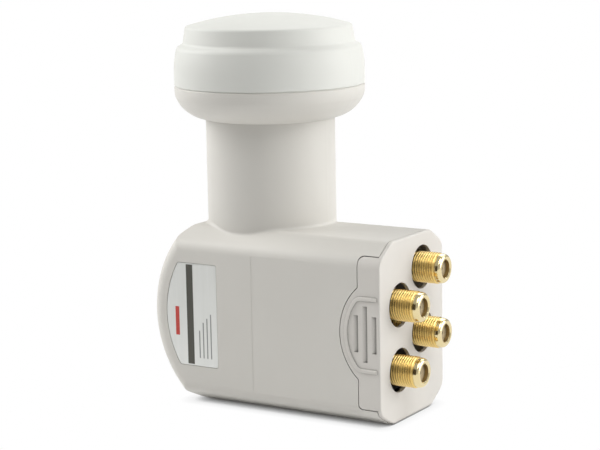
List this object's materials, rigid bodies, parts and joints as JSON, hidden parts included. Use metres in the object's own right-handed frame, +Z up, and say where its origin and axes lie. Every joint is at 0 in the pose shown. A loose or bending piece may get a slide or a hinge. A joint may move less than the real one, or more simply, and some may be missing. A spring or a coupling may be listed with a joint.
{
  "type": "satellite lnb",
  "caption": "Satellite dish receiver head with a round domed feed on a clamp neck, a box body with a round end, gold threaded outputs and a pull-out weather cover.",
  "frame": {"origin": "on the neck's axis, in the plane of the base", "axes": "+Z up along the neck to the feed cap, +X along the outputs, the face with the label looks along -Y"},
  "size_m": [0.0896, 0.0588, 0.1194],
  "materials": {
    "housing_plastic": "satin",
    "cap_plastic": "satin",
    "seal_rubber": "matte",
    "cast_metal": "as cast",
    "screw_steel": "zinc plated",
    "board_laminate": "satin",
    "chip_plastic": "matte",
    "bush_plastic": "matte",
    "contact_metal": "plated",
    "lid_metal": "sheet",
    "label_film": "satin silver",
    "gold_plate": "gold plated",
    "insulator_plastic": "matte"
  },
  "bodies": {
    "housing": {"base_screws": "screw_steel", "board_screws": "screw_steel", "cap_seal_ring": "seal_rubber", "chassis": "cast_metal", "circuit_board": "board_laminate", "converter_chips": "chip_plastic", "feed_cap": "cap_plastic", "feed_horn": "cast_metal", "horn_screws": "screw_steel", "lid_screws": "screw_steel", "main_housing": "housing_plastic", "output_body_1": "gold_plate", "output_body_2": "gold_plate", "output_body_3": "gold_plate", "output_body_4": "gold_plate", "output_contact_1": "contact_metal", "output_contact_2": "contact_metal", "output_contact_3": "contact_metal", "output_contact_4": "contact_metal", "output_gasket_1": "seal_rubber", "output_gasket_2": "seal_rubber", "output_gasket_3": "seal_rubber", "output_gasket_4": "seal_rubber", "output_insulator_1": "insulator_plastic", "output_insulator_2": "insulator_plastic", "output_insulator_3": "insulator_plastic", "output_insulator_4": "insulator_plastic", "probe_bent": "contact_metal", "probe_bushes": "bush_plastic", "probe_straight": "contact_metal", "rating_label": "label_film", "reference_crystal": "screw_steel", "shield_lid": "lid_metal", "switch_chip": "chip_plastic", "voltage_regulator": "chip_plastic"},
    "cover": {"weather_cover": "housing_plastic"}
  },
  "joints": [
    {"name": "cover_slide", "type": "slide", "parent": "housing", "child": "cover", "axis": [1, 0, 0], "range_m": [0, 0.025]}
  ]
}
